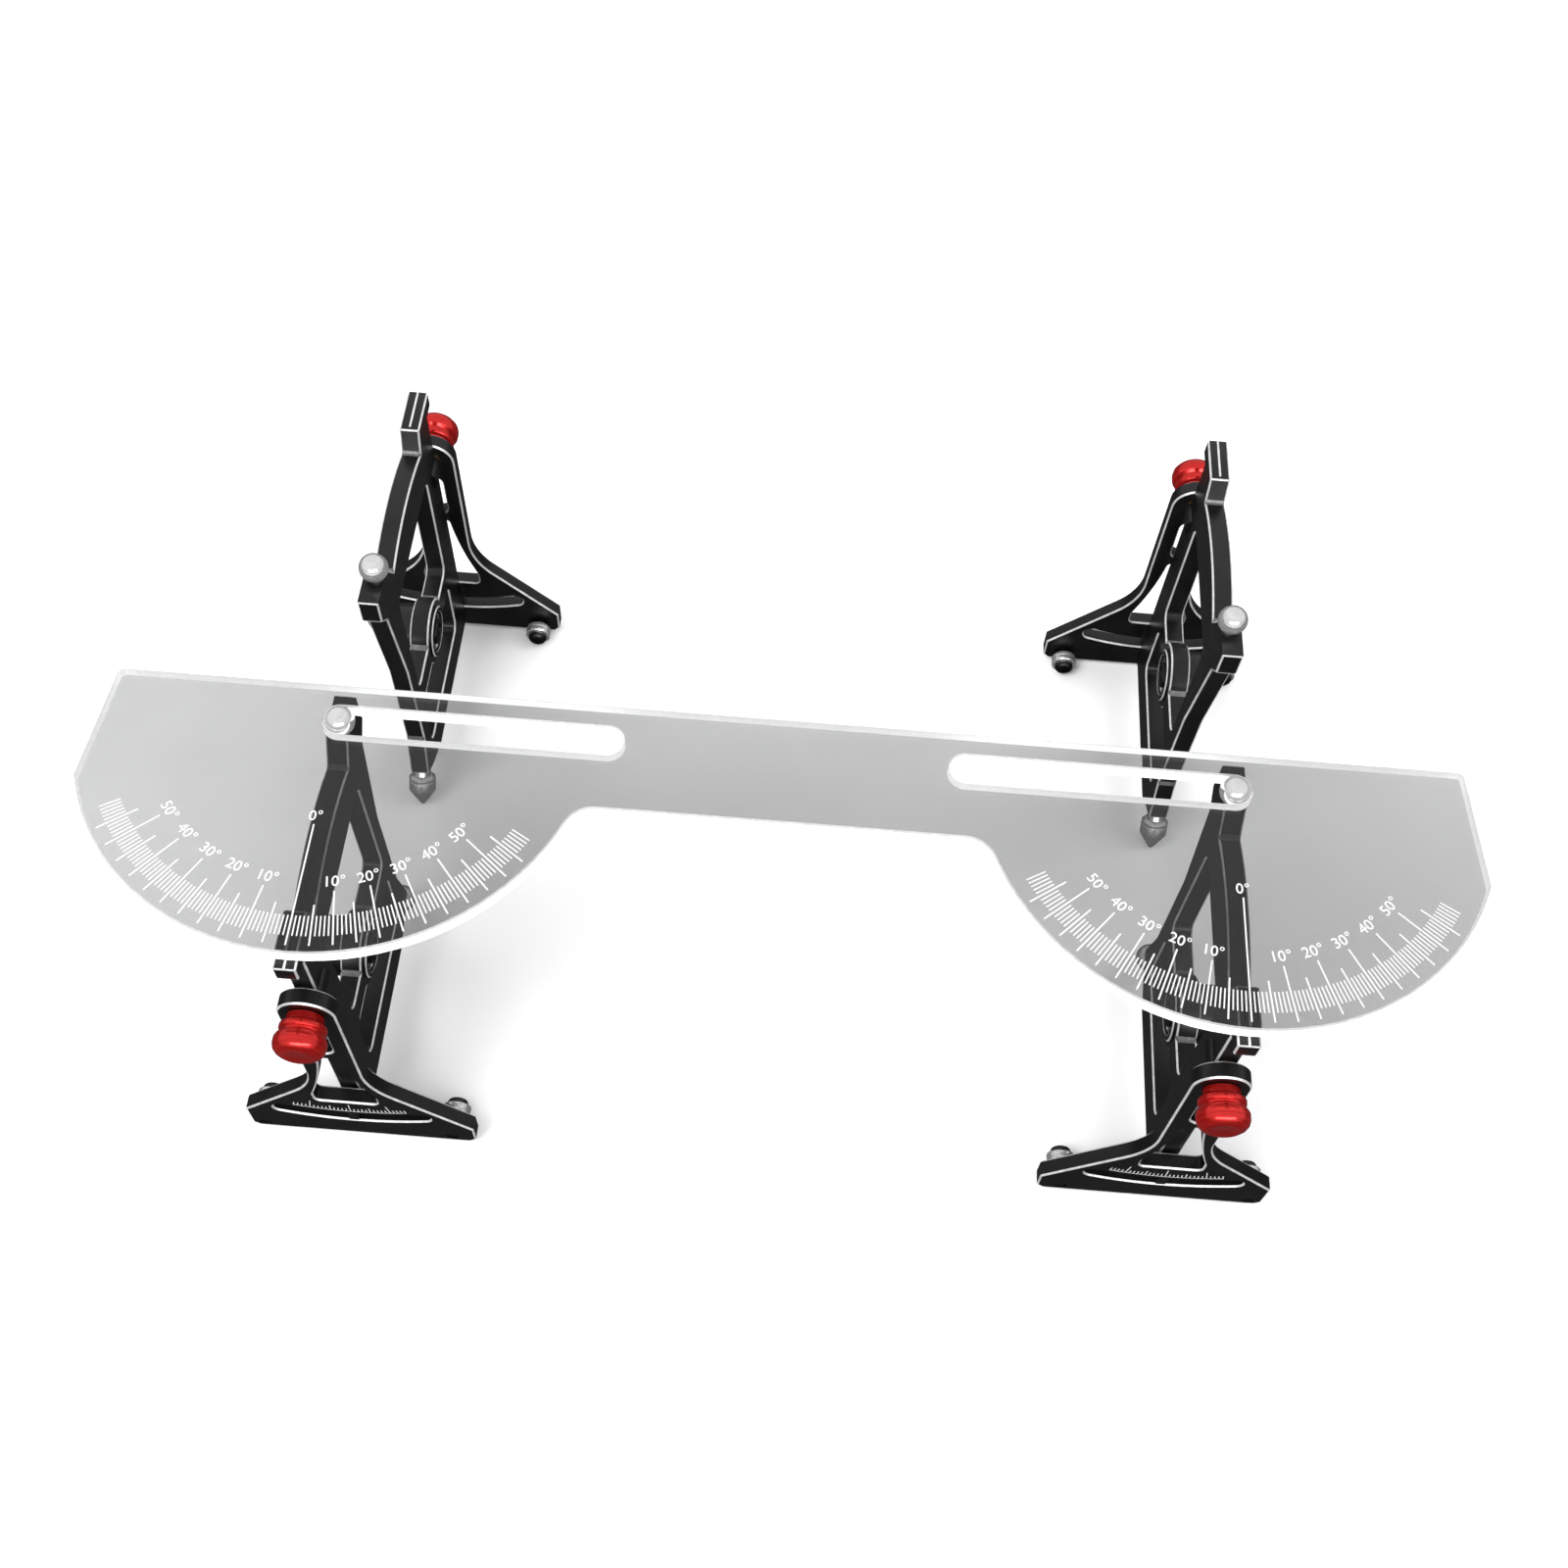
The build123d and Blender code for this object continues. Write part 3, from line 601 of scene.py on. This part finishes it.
# the round recess becomes a hexagon
def cutSocket(part):
    sixth = math.pi / 3
    for vert in part.verts:
        if math.hypot(vert.co.x, vert.co.y) < screw["socketReach"] * mm:
            angle = math.atan2(vert.co.y, vert.co.x) % sixth - sixth / 2
            reach = math.cos(sixth / 2) / math.cos(angle) * screw["socketFlare"]
            vert.co.x *= reach
            vert.co.y *= reach


for corner in corners:
    for side, sign in (("inner", 1), ("outer", -1)):
        bm = turnProfile(rollerProfile, closed=True, soften=roller["soften"])
        bm.transform(moveTo(sign * roller["x"], roller["start"], roller["z"]) @ aimAxis((0, 1, 0)))
        finishPiece(bm, corner + "_" + side + "Roller", corner + "_roller_" + side, [steel],
                    standPlace[corner], sharp=35, replaced=[corner + "_roller_" + side])
    bm = bmesh.new()
    for sign in (1, -1):
        part = turnProfile(screwProfile, steps=48)
        cutSocket(part)
        part.transform(moveTo(sign * roller["x"], screw["start"], roller["z"]) @ aimAxis((0, 1, 0)))
        addPart(bm, part)
    finishPiece(bm, corner + "_rollerScrewPair", corner + "_camber_gauge", [darkSteel], standPlace[corner],
                sharp=35, replaced=[corner + "_roller_screws"])
print("rollers and screws turned")


# toe gauge: a clear sheet with polished edges that carry a painted white glow, and a ground corner round its
# top
sheet = {"flatLeast": 0.9, "cornerLeast": 0.5}  # how far a face looks up
bm = mergedCopy("toe_gauge")
for face in bm.faces:
    if abs(face.normal.z) < sheet["flatLeast"]:
        face.material_index = 1 if face.normal.z < sheet["cornerLeast"] else 2
finishPiece(bm, "toeSheet", "toe_gauge", [sheetFace, sheetEdge, sheetCorner], sharp=25,
            replaced=["toe_gauge"])

# the dials round the two slot ends
dial = {"top": 100.0, "lift": 0.02, "range": 60, "minorWidth": 0.30, "majorWidth": 0.36,
        "minorStart": 49.0, "minorEnd": 53.7, "fiveStart": 46.4, "tenStart": 43.2, "zeroStart": 27.0,
        "majorEnd": 55.9, "labelRadius": 41.0, "zeroRadius": 25.0, "labelSize": 3.5, "labelWeight": 0.03}


def addLabel(bm, text, place):
    curve = bpy.data.curves.new("label", "FONT")
    curve.body = text
    curve.size = dial["labelSize"] * mm
    curve.align_x = "CENTER"
    curve.align_y = "CENTER"
    curve.extrude = dial["lift"] * mm
    curve.offset = dial["labelWeight"] * mm
    curve.resolution_u = 4
    label = bpy.data.objects.new("label", curve)
    bpy.context.scene.collection.objects.link(label)
    bpy.context.view_layer.update()
    mesh = bpy.data.meshes.new_from_object(label)
    mesh.transform(place)
    bm.from_mesh(mesh)
    bpy.data.objects.remove(label)
    bpy.data.curves.remove(curve)
    bpy.data.meshes.remove(mesh)


for side in ("left", "right"):
    centre = Matrix.Translation((*pinCentre("front_" + side), dial["top"] * mm))
    ticks = bmesh.new()
    labels = bmesh.new()
    for degree in range(-dial["range"], dial["range"] + 1):
        turned = centre @ Matrix.Rotation(math.radians(degree), 4, "Z")
        inside = abs(degree) < dial["range"]
        start, end, width = dial["minorStart"], dial["minorEnd"], dial["minorWidth"]
        if degree % 5 == 0 and inside:
            start, end, width = dial["fiveStart"], dial["majorEnd"], dial["majorWidth"]
        if degree % 10 == 0 and inside:
            start = dial["tenStart"] if degree else dial["zeroStart"]
            radius = dial["labelRadius"] if degree else dial["zeroRadius"]
            addLabel(labels, str(abs(degree)) + "°", turned @ moveTo(0, -radius, 0))
        addBar(ticks, (width, end - start, 2 * dial["lift"]), turned @ moveTo(0, -(start + end) / 2, 0))
    finishPiece(ticks, side + "_dialTicks", "toe_gauge", [inkWhite])
    finishPiece(labels, side + "_dialLabels", "toe_gauge", [inkWhite])
print("toe gauge and dials made")


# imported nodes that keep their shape
for corner in corners:
    for node, material in (("_pivot_stud", steel), ("_pivot_bush", bronze)):
        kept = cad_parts[corner + node]
        for slotIndex in range(len(kept.material_slots)):
            kept.material_slots[slotIndex].material = material
print("packed nodes finished")


# floor: a sheet of white paper
paper = {"dark": (0.94, 0.94, 0.94), "light": (0.96, 0.96, 0.96), "darkAt": 0.3, "lightAt": 0.7, "grain": 40,
         "rough": 0.8, "shine": 0.1, "half": 12}
floorMesh = bpy.data.meshes.new("floor")
bm = bmesh.new()
bmesh.ops.create_grid(bm, x_segments=1, y_segments=1, size=paper["half"])
bm.to_mesh(floorMesh)
bm.free()
floor = bpy.data.objects.new("floor", floorMesh)
bpy.context.scene.collection.objects.link(floor)
floor.visible_glossy = False
floorMaterial, nodes, links, shader, coords = startMaterial("floorPaper")
grain = addNoise(nodes, links, coords, paper["grain"], detail=3)
addTone(nodes, links, grain, shader, paper)
shader.inputs["Roughness"].default_value = paper["rough"]
shader.inputs["Specular IOR Level"].default_value = paper["shine"]
floorMesh.materials.append(floorMaterial)

# light: a bright tent with dark sides low down for the metal to mirror
# each band is a place from the bottom of the tent to its top, and how bright it is
tent = {"bands": ((0.46, 0.10), (0.52, 0.50), (0.56, 0.90), (0.72, 1.15)), "bright": 1.15, "mirrored": 0.72}
world = bpy.data.worlds.new("studio")
world.use_nodes = True
nodes = world.node_tree.nodes
links = world.node_tree.links
direction = nodes.new("ShaderNodeTexCoord")
parts = nodes.new("ShaderNodeSeparateXYZ")
height = nodes.new("ShaderNodeMapRange")
height.inputs["From Min"].default_value = -1  # from straight down to straight up
wall = nodes.new("ShaderNodeValToRGB")
for place, level in tent["bands"][1:-1]:
    wall.color_ramp.elements.new(place)
for element, (place, level) in zip(wall.color_ramp.elements, tent["bands"]):
    element.position = place
    element.color = (level / tent["bright"],) * 3 + (1,)
links.new(direction.outputs["Generated"], parts.inputs["Vector"])
links.new(parts.outputs["Z"], height.inputs["Value"])
links.new(height.outputs["Result"], wall.inputs["Fac"])
links.new(wall.outputs["Color"], nodes["Background"].inputs["Color"])
# polished surfaces mirror a dimmer tent, so that the card stands out in them
ray = nodes.new("ShaderNodeLightPath")
strength = nodes.new("ShaderNodeMapRange")
strength.inputs["To Min"].default_value = tent["bright"]
strength.inputs["To Max"].default_value = tent["mirrored"]
links.new(ray.outputs["Is Glossy Ray"], strength.inputs["Value"])
links.new(strength.outputs["Result"], nodes["Background"].inputs["Strength"])
bpy.context.scene.world = world
bpy.context.scene.view_settings.view_transform = "Standard"

# a mirrored lamp is a card that only shows in polished surfaces
lamps = {
    "keyLamp": {"place": (-0.5, -0.4, 1.0), "size": (0.6, 0.6), "power": 9.0, "mirrored": False},
    "fillLamp": {"place": (0.9, 0.2, 0.8), "size": (0.5, 0.9), "power": 4.0, "mirrored": False},
    "mirrorCard": {"place": (0.1, -0.8, 0.5), "size": (1.2, 0.25), "power": 6.0, "mirrored": True}}
aim = Vector((0, 0, 0.03))
for name, look in lamps.items():
    lampData = bpy.data.lights.new(name, "AREA")
    lampData.shape = "RECTANGLE"
    lampData.size, lampData.size_y = look["size"]
    lampData.energy = look["power"]
    lamp = bpy.data.objects.new(name, lampData)
    lamp.location = look["place"]
    lamp.rotation_euler = (aim - Vector(look["place"])).to_track_quat("-Z", "Y").to_euler()
    lamp.visible_glossy = look["mirrored"]
    lamp.visible_diffuse = not look["mirrored"]
    lamp.visible_transmission = False
    bpy.context.scene.collection.objects.link(lamp)
print("floor and light made")
